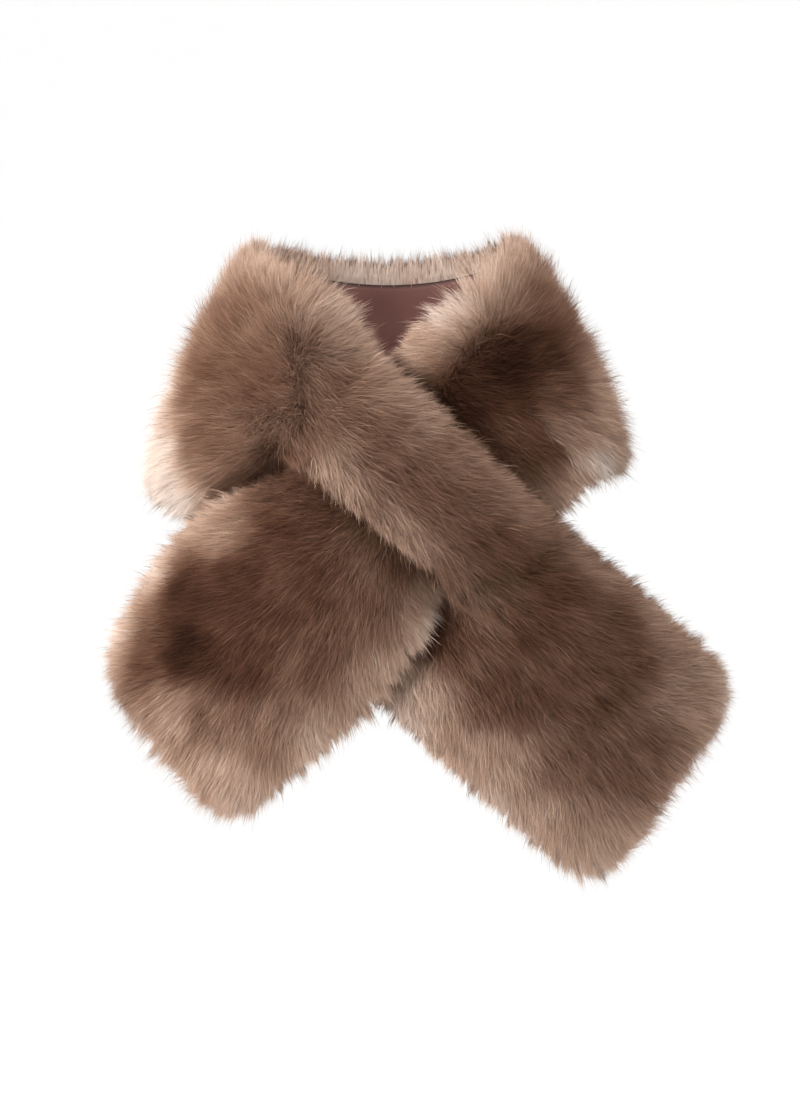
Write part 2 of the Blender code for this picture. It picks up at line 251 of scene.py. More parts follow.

# How the pile lies and how light it is. A row holds for the places near it on a panel: along
# as far as the spacing, and across as far as a quarter of the width. The shade is mostly the
# wool's own tone; paler rows at the edges are partly painted light through the wool's edge,
# and some rows paint light on lit sides and shade in a hollow, as marked.
PILE_SPACING = 40.0
NECK_PILE_SPACING = 1.4
SPACING_ACROSS = 0.5
SPACING_SOFTENS = 0.03
FAR = 1000.0
LEAST_ROOM = 0.5
LEAST_FLOW = 0.2
SLIT_END_PILE = (
    # u, share across, how far the pile points along, and across, shade
    (-72.0, 0.12, 0.9, -0.4, 0.4),
    (-72.0, 0.55, 1.0, 0.1, 0.46),
    (-72.0, 0.95, 0.75, 0.65, 0.65),
    (-40.0, 0.12, 0.75, -0.65, 0.7),
    (-30.0, 0.5, 1.0, 0.0, 0.42),
    (-30.0, 0.95, 0.85, 0.5, 0.61),
    (15.0, 0.12, 0.8, -0.6, 0.7),
    (15.0, 0.45, 1.0, -0.15, 0.4),
    (20.0, 0.85, 0.93, 0.36, 0.5),
    (60.0, 0.05, 0.95, -0.3, 0.5),
    (60.0, 0.45, 1.0, 0.1, 0.35),
    (60.0, 0.95, 0.93, 0.36, 0.54),
    (70.0, -0.3, 0.95, -0.25, 0.26),
    (60.0, -0.9, 0.8, -0.6, 0.75),
    (0.0, -0.6, 0.9, -0.3, 0.3),
    (86.0, -0.77, 0.75, -0.65, 0.78),
    (110.0, 0.0, 1.0, -0.05, 0.36),
    (120.0, 0.55, 1.0, 0.25, 0.32),
    (120.0, 0.95, 0.9, 0.42, 0.56),
    (125.0, -0.36, 0.95, -0.2, 0.36),
    (140.0, -0.66, 0.8, -0.55, 0.76),
    (120.0, -0.97, 0.75, -0.65, 0.7),
    (155.0, 0.0, 1.0, 0.05, 0.36),
    (165.0, 0.5, 1.0, 0.2, 0.34),
    (180.0, 0.92, 0.85, 0.5, 0.64),
    (180.0, -0.38, 0.97, -0.2, 0.46),
    (190.0, -0.8, 0.75, -0.65, 0.72),
    (215.0, 0.0, 1.0, 0.0, 0.44),
    (220.0, 0.6, 0.95, 0.3, 0.66),
    (245.0, 0.85, 0.8, 0.6, 0.76),
    (250.0, 0.0, 1.0, 0.0, 0.64),
    (245.0, -0.85, 0.85, -0.5, 0.72),
)
PULL_END_PILE = (
    # v, share across, how far the pile points along, and across, shade
    (112.0, 0.95, 0.4, 0.95, 0.7),
    (100.0, 0.3, -0.2, 0.97, 0.3),
    (112.0, -0.25, -0.4, 0.9, 0.16),
    (112.0, -0.92, 0.85, -0.5, 0.7),
    (70.0, 0.8, 0.4, 0.9, 0.6),
    (70.0, 0.0, -0.2, 0.97, 0.2),
    (70.0, -0.85, 0.8, -0.5, 0.4),
    (20.0, 0.0, 1.0, 0.0, 0.25),
    (-5.0, 0.05, 1.0, 0.0, 0.42),
    (-8.0, 0.45, 0.9, 0.3, 0.4),
    (-12.0, 0.88, 0.5, 0.85, 0.6),
    (-20.0, 0.97, 0.35, 0.95, 0.86),
    (-15.0, -0.7, 0.9, -0.4, 0.32),
    (-33.0, -0.45, 0.9, -0.35, 0.26),
    (-40.0, 0.5, 0.9, 0.3, 0.38),
    (-50.0, 0.0, 1.0, 0.0, 0.3),
    (-60.0, 0.85, 0.7, 0.7, 0.72),
    (-58.0, -0.7, 0.8, -0.6, 0.57),
    (-62.0, -0.97, 0.7, -0.7, 0.7),
    (-67.0, -0.38, 0.92, -0.35, 0.18),
    (-80.0, 0.4, 0.97, 0.15, 0.4),
    (-85.0, 0.0, 1.0, 0.0, 0.24),
    (-100.0, -0.62, 0.85, -0.5, 0.12),
    (-105.0, -0.97, 0.6, -0.8, 0.84),
    (-108.0, 0.1, 0.98, 0.05, 0.27),
    (-112.0, 0.93, 0.72, 0.7, 0.76),
    (-120.0, 0.5, 0.95, 0.25, 0.56),
    (-128.0, -0.32, 0.95, -0.25, 0.03),
    (-145.0, 0.15, 1.0, 0.1, 0.5),
    (-150.0, -0.6, 0.85, -0.5, 0.3),
    (-155.0, -0.92, 0.7, -0.7, 0.84),
    (-162.0, -0.1, 1.0, 0.0, 0.7),
    (-165.0, 0.5, 1.0, 0.2, 0.76),
    (-190.0, -0.2, 1.0, -0.1, 0.66),
    (-190.0, 0.7, 0.85, 0.4, 0.7),
)
NECK_PILE = (
    # knot, share across, how far the pile points along, and across, shade
    (0.0, -0.95, -0.25, -0.97, 0.8),
    (0.0, -0.4, 0.45, -0.7, 0.42),
    (0.0, 0.0, -0.4, -0.3, 0.46),
    (0.0, 0.5, -0.95, 0.1, 0.46),
    (0.0, 0.95, -0.75, 0.65, 0.68),
    (0.9, 0.88, -0.6, 0.8, 0.72),
    (0.9, 0.2, 0.85, -0.35, 0.36),
    (1.0, -0.4, 0.75, -0.65, 0.42),
    # Painted light: the lit lower left side of the left shoulder is made near the palest, here and in
    # the rows at 1.8, 2.2 and 3.0 with negative share.
    (1.0, -0.95, 0.1, -1.0, 0.99),
    (1.8, 0.5, 0.95, 0.3, 0.42),
    (2.0, 0.95, 0.35, 0.93, 0.7),
    (1.6, 0.0, 0.95, -0.3, 0.38),
    (1.8, -0.65, 0.75, -0.65, 0.99),
    (2.2, -0.95, 0.35, -0.93, 0.99),
    (3.0, 0.6, 0.3, 0.7, 0.72),
    (3.0, -0.3, 0.55, -0.25, 0.97),
    # Painted light: the lit top edge of the neck's back is made paler, here and at 7.0 and 9.5.
    (4.5, 0.95, 0.3, 0.95, 0.75),
    (4.5, 0.0, 0.85, 0.3, 0.5),
    (4.5, -0.8, 0.6, -0.5, 0.55),
    (7.0, 0.95, 0.0, 1.0, 0.85),
    (7.0, 0.2, 0.0, 1.0, 0.5),
    (7.0, -0.8, 0.0, 0.3, 0.5),
    (9.5, 0.95, -0.3, 0.95, 0.78),
    (9.5, 0.0, -0.85, 0.3, 0.5),
    (9.5, -0.8, -0.6, -0.5, 0.55),
    (11.0, 0.6, -0.4, 0.6, 0.62),
    (11.0, -0.3, -0.4, 0.1, 0.68),
    (11.8, 0.95, -0.75, 0.9, 0.72),
    (11.9, 0.42, -1.0, 0.1, 0.38),
    (12.0, -0.4, -0.7, -0.6, 0.66),
    (12.2, -0.95, -0.35, -0.9, 0.7),
    (12.5, 0.92, -0.7, 0.9, 0.72),
    # Painted shade: the hollow where the right shoulder meets the pulled end is made dark, here and at
    # 13.5 and 14.0.
    (12.9, 0.2, -0.75, -0.45, 0.22),
    (13.4, 0.95, 0.85, 0.5, 0.86),
    (13.5, 0.3, -0.5, -0.7, 0.03),
    (14.0, 0.9, 0.9, 0.45, 0.74),
    (14.0, 0.2, -0.5, -0.7, 0.12),
    (13.0, -0.12, -0.6, -0.65, 0.42),
    (13.3, -0.42, -0.4, -0.85, 0.6),
    (13.3, -0.85, 0.45, -0.95, 0.95),
    (14.0, -0.95, 0.5, -0.95, 0.82),
)

# The lining: its grids, how much shorter it is than its panel, how far in from its hems its map
# counts for the painted shadow along them, and the loose folds in the neck
LINING_COLUMNS = 33
LINING_SIDE_COLUMNS = 18
LINING_ROWS = {"slit_end": 70, "pull_front": 20, "pull_tail": 60}
NECK_LINING_ROWS = 40
LINING_SHORT = 6.0
LINING_END = 10.0
HEM_REACH = 0.02
FOLD_HALF_LENGTH = 62.0
FOLD_FADES = (0.75, 1.0)
FOLDS = (
    # knot, depth, width in knots
    (7.35, 0.9, 0.16),
    (6.2, 0.5, 0.2),
)

# Stage: the camera sees the photograph's frame, 1113 pixels of 0.63 mm high
FRAME_MIDDLE = Vector((0.0076, -0.11, -0.1175))
FRAME_HEIGHT = 0.7012
SENSOR = 36.0
LAMP_AIM = Vector((0.0, -0.08, -0.08))
LAMPS = (
    # name, place, size, share of the key's power
    ("key", (-1.4, -1.1, 0.6), 1.0, 1.0),
    ("top", (0.2, 0.1, 1.5), 1.4, 0.35),
)

FALL = math.radians(SLIT_FALL)
ALONG = np.array((math.cos(FALL), 0.0, -math.sin(FALL)))
ACROSS = np.array((math.sin(FALL), 0.0, math.cos(FALL)))


def smooth(low, high, x):
    t = np.clip((x - low) / (high - low), 0.0, 1.0)
    return t * t * (3.0 - 2.0 * t)


def curve(rows, x):
    """The columns after the first, at each x, on smooth curves through the rows."""
    table = np.array(rows, float)
    keys, values = table[:, 0], table[:, 1:]
    after = np.minimum(np.arange(len(keys)) + 1, len(keys) - 1)
    before = np.maximum(np.arange(len(keys)) - 1, 0)
    slopes = (values[after] - values[before]) / (keys[after] - keys[before])[:, None]
    x = np.clip(np.asarray(x, float), keys[0], keys[-1])
    i = np.clip(np.searchsorted(keys, x) - 1, 0, len(keys) - 2)
    h = (keys[i + 1] - keys[i])[..., None]
    t = (x - keys[i])[..., None] / h
    p, d = values[i], values[i + 1] - values[i]
    m, n = slopes[i] * h, slopes[i + 1] * h
    flat = (m * d <= 0.0) & (n * d <= 0.0)
    m, n = np.where(flat, 0.0, m), np.where(flat, 0.0, n)
    found = p + d * t * t * (3 - 2 * t) + m * t * (1 - t) ** 2 - n * t * t * (1 - t)
    return np.moveaxis(found, -1, 0)


def arch(x):
    """One in the middle of a width, zero at its edges."""
    return np.sqrt(np.maximum(0.0, 1.0 - np.minimum(np.abs(x), 1.0) ** ARCH_POWER))


def chest(u, v, n):
    """Points n off the chest, in metres."""
    x = SLIT_X + ALONG[0] * u + ACROSS[0] * v
    z = SLIT_Z + ALONG[2] * u + ACROSS[2] * v
    y = CHEST_Y + x * x / (2.0 * CHEST_RADIUS) + CHEST_LEAN * (z - SLIT_Z)
    return np.stack((x, y - n - NAPE_Y, z), -1) * MM


def off_chest(points):
    """u, v and n of points."""
    x, z = points[..., 0] / MM, points[..., 2] / MM
    u = ALONG[0] * (x - SLIT_X) + ALONG[2] * (z - SLIT_Z)
    v = ACROSS[0] * (x - SLIT_X) + ACROSS[2] * (z - SLIT_Z)
    return u, v, (chest(u, v, 0.0)[..., 1] - points[..., 1]) / MM


def pull_skin(u, v):
    """The pulled end's skin and pile top off the chest, and how far u is past its edge."""
    left, right, lift, pile, edge = curve(PULL_END, v)
    middle, half = (left + right) / 2.0, (right - left) / 2.0
    s = (u - middle) / half
    past = np.maximum(np.abs(s) - 1.0, 0.0) * half
    s = np.clip(s, -1.0, 1.0)
    skin = lift * (1.0 - smooth(PULL_END_LEVEL, 0.0, v) * s**4)
    full = arch(s)
    return skin, skin + pile * full + edge * (1.0 - full), past


def under_pull(u, v):
    """How high the pile of what lies under the pulled end can stand."""
    skin, _, past = pull_skin(u, v)
    return skin - LAYER + PRESSED_SLOPE * past


def slit_share(u):
    """One along the slit, zero past its ends."""
    far, near = SLIT_CLOSES
    return 1.0 - smooth(SLIT_LENGTH / 2 - far, SLIT_LENGTH / 2 - near, np.abs(u))


def slit_skin(u, v):
    """The slit end's skin, off the chest: over the pulled end above the slit, under it below."""
    skin, top, past = pull_skin(u, v)
    over = top + LAYER + STRAP_EASE - OVER_SLOPE * np.maximum(past - OVER_FROM, 0.0)
    lip = LIP_PILE * (LIP_LEAST_SHARE + (1.0 - LIP_LEAST_SHARE) * slit_share(u))
    under = skin - LAYER - lip + UNDER_SLOPE * past
    return np.where(v > 0.0, np.maximum(0.0, over), np.minimum(0.0, under))


def rim(x, half):
    """How far the underside of the fur rises, x from the middle."""
    return smooth(half - EDGE_ROUND, half, np.abs(x)) * EDGE_RISE


def end_share(left, length):
    """How wide the cloth is, this far from a rounded end."""
    t = np.clip(left / length, 0.0, 1.0)
    return (1.0 - (1.0 - t) ** END_POWER) ** (1.0 / END_POWER)


def lip_share(v):
    """How much of its pile the slit end has, this far from the slit."""
    t = np.minimum(np.abs(v) / LIP_ROUND, 1.0)
    return np.sqrt(np.maximum(0.0, 1.0 - (1.0 - t) ** END_POWER))


def skewed(place, side, skew):
    """How far an end of the cloth is pushed along, this far to the side of its middle."""
    start, end, most = skew
    return smooth(start, end, place) * most * side


def across_share(c, half):
    """Where a column lies across the cloth, from edge to edge on top and back underneath, and
    whether it is underneath."""
    under = np.clip((np.abs(c) - 1.0) / UNDERSIDE, 0.0, 1.0)
    on_top = np.clip(c, -1.0, 1.0)
    return on_top - np.sign(c) * under * OVERHANG / np.maximum(half, LEAST_HALF_WIDTH), under


def slit_end_surface(u, c, inner):
    """The top of the slit end's pile, or its roots."""
    if inner:
        u = u - END_INSET * smooth(SLIT_END_LENGTH - END_INSET_FROM, SLIT_END_LENGTH, u)
    high, low = curve(SLIT_END, u)
    left = SLIT_END_LENGTH - u
    middle = (high + low) / 2.0
    half = (high - low) / 2.0 * end_share(left, SLIT_END_ROUND)
    thin = np.sqrt(end_share(left, END_THINS))
    share, under = across_share(c, half)
    v = np.where(share > 0.0, middle + half, half - middle) * share
    skin = slit_skin(u, v)
    full = arch((v - middle) / np.maximum(half, 1.0))
    full = full * (1.0 - slit_share(u) * (1.0 - lip_share(v)))
    top = skin + (PILE * full + EDGE_HEIGHT * (1.0 - full)) * thin
    top = np.where(v < 0.0, np.minimum(top, under_pull(u, v)), top)
    low_side = np.minimum(skin + rim(v - middle, half) * thin, top - LEAST_THICKNESS)
    height = np.where(under > 0.0, low_side, top)
    if inner:
        height = np.where(under > 0.0, low_side + LOW_ROOTS, skin + (top - skin) * ROOT_DEPTH)
        v = v * (1.0 - INSET / np.maximum(half, 2 * INSET))
    return chest(u + skewed(u, v - middle, SLIT_END_SKEW), v, height)


def pull_surface(v, c, inner):
    """The top of the pulled end's pile, or its roots."""
    if inner:
        v = v + END_INSET * smooth(END_INSET_FROM - PULL_END_LENGTH, -PULL_END_LENGTH, v)
    left, right, _, pile, edge = curve(PULL_END, v)
    middle = (left + right) / 2.0
    to_end = PULL_END_LENGTH + v
    half = (right - left) / 2.0 * end_share(to_end, PULL_END_ROUND)
    thin = np.sqrt(end_share(to_end, END_THINS))
    share, under = across_share(c, half)
    u = middle + half * share
    skin = pull_skin(u, v)[0]
    full = arch((u - middle) / np.maximum(half, 1.0))
    top = skin + (pile * full + edge * (1.0 - full)) * thin
    rise = rim(u - middle, half) * np.minimum(edge / EDGE_HEIGHT, 1.0) * thin
    low_side = np.minimum(skin + rise, top - LEAST_THICKNESS)
    height = np.where(under > 0.0, low_side, top)
    if inner:
        height = np.where(under > 0.0, low_side + LOW_ROOTS, skin + (top - skin) * ROOT_DEPTH)
        u = middle + (u - middle) * (1.0 - INSET / np.maximum(half, 2 * INSET))
    return chest(u, v + skewed(-v, u - middle, PULL_END_SKEW), height)


def unit(vectors):
    return vectors / np.maximum(np.linalg.norm(vectors, axis=-1, keepdims=True), 1e-9)


def neck_frame(at):
    """The middle of the skin round the neck, the ways across and out of it, and its half width."""
    row = np.moveaxis(curve(NECK, at), 0, -1)
    middle = row[..., 0:3] - np.array((0.0, NAPE_Y, 0.0))
    across = unit(row[..., 3:6])
    out = row[..., 6:9]
    out = unit(out - across * (out * across).sum(-1, keepdims=True))
    return middle, across, out, row[..., 9]


def neck_skin(middle, across, out, w):
    return middle + across * w[..., None] - out * (SAG * (w / SAG_HALF_WIDTH) ** 2)[..., None]


def neck_surface(at, c, inner):
    """The top of the pile round the neck, or its roots, pressed back by the pulled end."""
    middle, across, out, half = neck_frame(at)
    share, under = across_share(c, half)
    w = half * share
    full = arch(share)
    top = PILE * full + EDGE_HEIGHT * (1.0 - full)
    height = np.where(under > 0.0, rim(w, half), top)
    if inner:
        height = np.where(under > 0.0, rim(w, half) + LOW_ROOTS, top * ROOT_DEPTH)
        w = w * (1.0 - INSET / half)
    points = (neck_skin(middle, across, out, w) + out * height[..., None]) * MM
    u, v, n = off_chest(points)
    limit = under_pull(u, v) - (PRESSED_ROOTS if inner else 0.0)
    near = (at < SIDE_KNOT) & (v < 0.0) & (u < 0.0)
    points[..., 1] += np.where(near & (n > limit), n - limit, 0.0) * MM
    return points


def blend(rows, s, c, spacing):
    """Values between a table's rows, at places s along and c across."""
    table = np.array(rows)
    away = ((s[..., None] - table[:, 0]) / spacing) ** 2
    away = away + ((c[..., None] - table[:, 1]) / SPACING_ACROSS) ** 2
    weight = 1.0 / (away + SPACING_SOFTENS) ** 2
    return np.moveaxis(weight @ table[:, 2:] / weight.sum(-1, keepdims=True), -1, 0)


def random_waves(points, wave):
    """Smooth values, up and down by the wave's strength, that change over its size in metres."""
    size, strength, seed = wave
    random = np.random.default_rng(seed)
    total = np.zeros(points.shape[:-1])
    for _ in range(WAVES):
        way = random.normal(size=3)
        way *= 2.0 * math.pi / size * random.uniform(*WAVE_SIZES) / np.linalg.norm(way)
        total += np.sin(points @ way + random.uniform(0.0, 2.0 * math.pi))
    return total / WAVE_TOTAL * strength


class Panel:
    """One stretch of the scarf: grids of its pile's tops and roots, and how its pile lies."""

    def __init__(self, name, look):
        self.name = name
        self.loose = look.loose if name in LOOSE else 1.0
        if name == "slit_end":
            turn = np.linspace(0.0, math.pi, LIP_COLUMNS)
            half = LIP + (1.0 - LIP) * (1.0 - np.cos(turn)) / 2.0
            cross = np.concatenate((-half[::-1], half))
        else:
            cross = np.sin(np.linspace(-0.5, 0.5, COLUMNS) * math.pi)
        edge = np.linspace(UNDERSIDE, 0.0, EDGE_COLUMNS + 1)[:-1] + 1.0
        self.columns = np.concatenate((-edge, cross, edge[::-1]))
        self.stations = self.places()
        s, c = np.meshgrid(self.stations, self.columns, indexing="ij")
        self.s, self.c = s, c
        self.outer = self.surface(s, c, False)
        self.inner = self.surface(s, c, True)
        self.along = unit(np.gradient(self.outer, axis=0))
        halves = [self.outer]
        if name == "slit_end":
            halves = np.split(self.outer, 2, axis=1)
        across = np.concatenate([np.gradient(half, axis=1) for half in halves], axis=1)
        self.normal = unit(np.cross(self.along, across))
        self.facing = self.side()
        self.normal *= self.facing
        self.nap, self.space, self.shade = self.pile()

    def surface(self, s, c, inner):
        if self.name == "slit_end":
            return slit_end_surface(s, c, inner)
        if self.name.startswith("pull"):
            return pull_surface(s, c, inner)
        return neck_surface(s, c, inner)

    def places(self):
        """Where the grid's rows lie along the panel, closer together at a rounded end."""
        if self.name == "slit_end":
            start, end, tip = SLIT_END_SEAM - SEAM_OVERLAP, SLIT_END_LENGTH - END_SHORT, True
        elif self.name == "pull_front":
            start, end, tip = PULL_END_SEAM + SEAM_OVERLAP, PULL_SPLIT, False
        elif self.name == "pull_tail":
            start, end, tip = PULL_SPLIT, END_SHORT - PULL_END_LENGTH, True
        else:
            return np.linspace(*NECK_SEAMS[self.name], NECK_ROWS)
        count = int(abs(end - start) / GRID)
        t = np.linspace(0.0, 1.0, count)
        if tip:
            t = 1.0 - (1.0 - t) ** END_CROWDING
        return start + (end - start) * t

    def side(self):
        """The sign that turns the grid's normals outward."""
        middle = len(self.columns) * 3 // 4
        row = len(self.stations) // 2
        lifted = self.outer[row, middle] - self.inner[row, middle]
        return 1.0 if self.normal[row, middle] @ lifted > 0.0 else -1.0

    def across_ways(self):
        """The flat way across the strip, toward higher columns, and the way along it."""
        if self.name.startswith("neck"):
            return neck_frame(self.s)[1], self.along
        flat = np.broadcast_to(ACROSS, self.outer.shape)
        long = np.broadcast_to(ALONG, self.outer.shape)
        return (flat, long) if self.name == "slit_end" else (long, -flat)

    def pile(self):
        """The way the pile lies at each point, how far it is to the outline that way, and its
        shade."""
        across, along = self.across_ways()
        if self.name == "slit_end":
            rows, spacing = SLIT_END_PILE, PILE_SPACING
        elif self.name.startswith("pull"):
            rows, spacing = PULL_END_PILE, PILE_SPACING
        else:
            rows, spacing = NECK_PILE, NECK_PILE_SPACING
        ahead, sideways, shade = blend(rows, self.s, np.clip(self.c, -1.0, 1.0), spacing)
        ahead = ahead + random_waves(self.outer, AHEAD_WAVE)
        sideways = sideways + random_waves(self.outer, SIDE_WAVE)
        flow = ahead[..., None] * along + sideways[..., None] * across
        room = self.room(ahead, sideways)
        for wave in SHADE_WAVES:
            shade = shade + random_waves(self.outer, wave)
        return flow, room, np.clip(shade, *PILE_SHADES)

    def room(self, ahead, sideways):
        """How far it is from each point to the outline, the way the pile lies."""
        c = np.clip(self.c, -1.0, 1.0)
        to_end = FAR
        if self.name == "slit_end":
            high, low = curve(SLIT_END, self.s)
            half = (high - low) / 2.0 * end_share(SLIT_END_LENGTH - self.s, SLIT_END_ROUND)
            to_end = SLIT_END_LENGTH - self.s
        elif self.name.startswith("pull"):
            left, right = curve(PULL_END, self.s)[:2]
            half = (right - left) / 2.0 * end_share(PULL_END_LENGTH + self.s, PULL_END_ROUND)
            to_end = PULL_END_LENGTH + self.s
        else:
            half = neck_frame(self.s)[3]
        size = np.maximum(np.hypot(ahead, sideways), LEAST_FLOW)
        to_side = half * (1.0 - c * np.sign(sideways))
        near = np.hypot(
            np.maximum(ahead, 0.0) / size / np.maximum(to_end, LEAST_ROOM),
            np.abs(sideways) / size / np.maximum(to_side, LEAST_ROOM),
        )
        return MM / np.maximum(near, 1.0 / FAR)

    def cells(self):
        """The corners of each cell of the grid that holds cloth, as indexes."""
        rows, columns = self.s.shape
        i, j = np.meshgrid(np.arange(rows - 1), np.arange(columns - 1), indexing="ij")
        keep = np.ones(i.shape, bool)
        if self.name == "slit_end":
            at_slit = np.abs(self.s[:-1, :-1] + self.s[1:, 1:]) < SLIT_LENGTH
            keep &= ~(at_slit & (np.abs(self.c[:-1, :-1] + self.c[1:, 1:]) < LIP))
        i, j = i[keep], j[keep]
        a = i * columns + j
        return np.stack((a, a + columns, a + columns + 1, a + 1), 1)


def new_mesh(name, points, faces, material):
    """An object from points and arrays of faces, one array for each number of corners, and
    the point at each of its face corners."""
    mesh = bpy.data.meshes.new(name)
    sizes = [len(f) for f in faces]
    mesh.vertices.add(len(points))
    mesh.vertices.foreach_set("co", np.ascontiguousarray(points, np.float32).ravel())
    loops = np.concatenate([f.ravel() for f in faces])
    mesh.loops.add(len(loops))
    mesh.loops.foreach_set("vertex_index", loops.astype(np.int32))
    widths = np.concatenate([np.full(n, f.shape[1]) for n, f in zip(sizes, faces)])
    starts = np.concatenate(([0], np.cumsum(widths)[:-1]))
    mesh.polygons.add(len(widths))
    mesh.polygons.foreach_set("loop_start", starts.astype(np.int32))
    mesh.polygons.foreach_set("use_smooth", np.full(len(widths), True))
    mesh.update(calc_edges=True)
    mesh.materials.append(material)
    made = bpy.data.objects.new(name, mesh)
    bpy.context.scene.collection.objects.link(made)
    return made, loops


def set_map(mesh, name, loops, places):
    """A UV map with a place for each point."""
    layer = mesh.uv_layers.new(name=name)
    layer.data.foreach_set("uv", places[loops].astype(np.float32).ravel())


def scatter(panel, count, random):
    """Places for hairs over a panel: root, top, the way out, the lie, space, shade and column."""
    cells = panel.cells()
    outer = panel.outer.reshape(-1, 3)
    place = panel.c.ravel()[cells].mean(1)
    a, b, c, d = (outer[cells[:, k]] for k in range(4))
    weight = np.linalg.norm(np.cross(c - a, d - b), axis=1)
    weight = weight * np.where(np.abs(place) > 1.0, UNDERSIDE_SHARE, 1.0)
    if panel.name == "neck_back":
        weight = weight * np.where(place > NECK_RIM[0], NECK_RIM[1], 1.0)
    picked = random.choice(len(cells), count, p=weight / weight.sum())
    s, t = random.random((2, count, 1))
    shares = ((1 - s) * (1 - t), s * (1 - t), s * t, (1 - s) * t)
    grids = (panel.inner, panel.outer, panel.normal, panel.nap, panel.space, panel.shade, panel.c)
    found = []
    for grid in grids:
        corners = grid.reshape(len(outer), -1)[cells[picked]]
        found.append(sum(shares[k] * corners[:, k] for k in range(4)))
    return found


def comb(spots, look, random, long, loose):
    """Bends and tips for the hairs at these spots; loose ones reach further past the outline."""
    root, top, up, way, space = spots[:5]
    count = len(root)
    up = unit(up)
    edge = near_outline(spots)
    full = ((top - root) * up).sum(1, keepdims=True) / (PILE * (1 - ROOT_DEPTH) * MM)
    share = np.clip(full, LEAST_LENGTH * loose, 1.0)
    length = look.hair_length * random.uniform(*LENGTHS, (count, 1)) * share
    length *= 1.0 + LONG_LENGTH * long
    tuft = np.stack([random_waves(root, (TUFT_SIZE, TUFT_LEAN, seed)) for seed in TUFT_SEEDS], 1)
    laid = np.clip(np.linalg.norm(way, axis=1, keepdims=True), 0.0, 1.0)
    wild = random.normal(size=(count, 3)) * more(WILDNESS, long) * (3.0 - 2.0 * laid)
    way = way + tuft + wild
    down = np.clip(np.linalg.norm(way, axis=1, keepdims=True), LEAST_LIE, 1.0)
    past = random.random((count, 1)) ** 2 * more(WISPINESS, long) * look.wisp * loose
    past -= random.random((count, 1)) * look.thinning
    reach = unit(way) * np.clip(space + past, 0.0, length * down)
    stray = random.random((count, 1)) ** 2 * more(STRAYING, long) * look.stray_height
    rise = (top - root) * (RISE - more(RISE_LESS, edge) * random.random((count, 1)))
    rise += up * (stray + look.stray_height * UPRIGHT_RISE * (1.0 - down))
    tip = root + reach + rise
    over = np.maximum(((tip - top) * up).sum(1, keepdims=True) - look.stand_off, 0.0)
    tip -= up * over * (1.0 - edge)
    return root + reach * BEND_REACH + rise * BEND_RISE, tip


def more(values, share):
    """The first value, and the second added to it by this share: one for a long hair."""
    return values[0] + values[1] * share


def near_outline(spots):
    """One where a panel's edge or end is near, zero well inside it."""
    return np.maximum(smooth(*NEAR_EDGE, np.abs(spots[6])), smooth(*NEAR_END, spots[4]))


def gather(panel, spots, look):
    """The root and the tip of the lock that each hair belongs to."""
    random = np.random.default_rng(len(panel.name))
    width = np.diff(panel.outer, axis=1)[:-1]
    depth = np.diff(panel.outer, axis=0)[:, :-1]
    area = np.linalg.norm(np.cross(width, depth), axis=2).sum()
    locks = scatter(panel, int(area / look.lock_size**2), random)
    tip = comb(locks, look, random, near_outline(locks), panel.loose)[1]
    tree = KDTree(len(tip))
    for k, place in enumerate(locks[0]):
        tree.insert(place, k)
    tree.balance()
    nearest = np.array([tree.find(place)[1] for place in spots[0].tolist()])
    return locks[0][nearest], tip[nearest]


def grow_hairs(panel, name, fine, long, seed, look, material):
    """Tapered hairs over a panel, in one mesh, first the fine ones and then the long ones.
    Their map holds shade and reach."""
    random = np.random.default_rng(seed)
    count = fine + long
    is_long = (np.arange(count) >= fine)[:, None] * 1.0
    spots = scatter(panel, count, random)
    root, up, light = spots[0], unit(spots[2]), spots[5][:, 0]
    edge = near_outline(spots)
    bend, tip = comb(spots, look, random, is_long, panel.loose)
    lock_root, lock_tip = gather(panel, spots, look)
    pull = random.uniform(*LOCK_PULL, (count, 1)) * (look.lock + look.edge_lock * edge)
    drawn = (lock_tip + (root - lock_root) * LOCK_SPREAD - tip) * np.clip(pull, 0.0, MOST_PULL)
    tip, bend = tip + drawn, bend + drawn * LOCK_BEND
    side = unit(np.cross(unit(tip - root), up) + random.normal(size=(count, 3)) * TURN)
    across = side * (look.hair_width * random.uniform(*WIDTHS, (count, 1)))
    # Hairs near the outline are made paler: painted light shining through the wool's edge.
    light = light + random.normal(size=count) * look.shade_spread + edge[:, 0] * look.painted_rim_light
    light = np.clip(light, *HAIR_SHADES)
    points, faces = hair_shapes(root, bend, tip, across, fine)
    made, loops = new_mesh(name, points, faces, material)
    fine_map = hair_map(light[:fine], (-1.0, 1.0, 0.0), (0.0, 0.0, 1.0))
    long_map = hair_map(light[fine:], (-1.0, 1.0, 1.0, -1.0, 0.0), (0.0, 0.0, 0.5, 0.5, 1.0))
    set_map(made.data, "OFBake", loops, np.concatenate((fine_map, long_map)))
    soft = unit(up + random.normal(size=(count, 3)) * SOFTNESS)
    normals = np.concatenate((np.repeat(soft[:fine], 3, axis=0), np.repeat(soft[fine:], 5, axis=0)))
    made.data.normals_split_custom_set_from_vertices(normals)
    return made


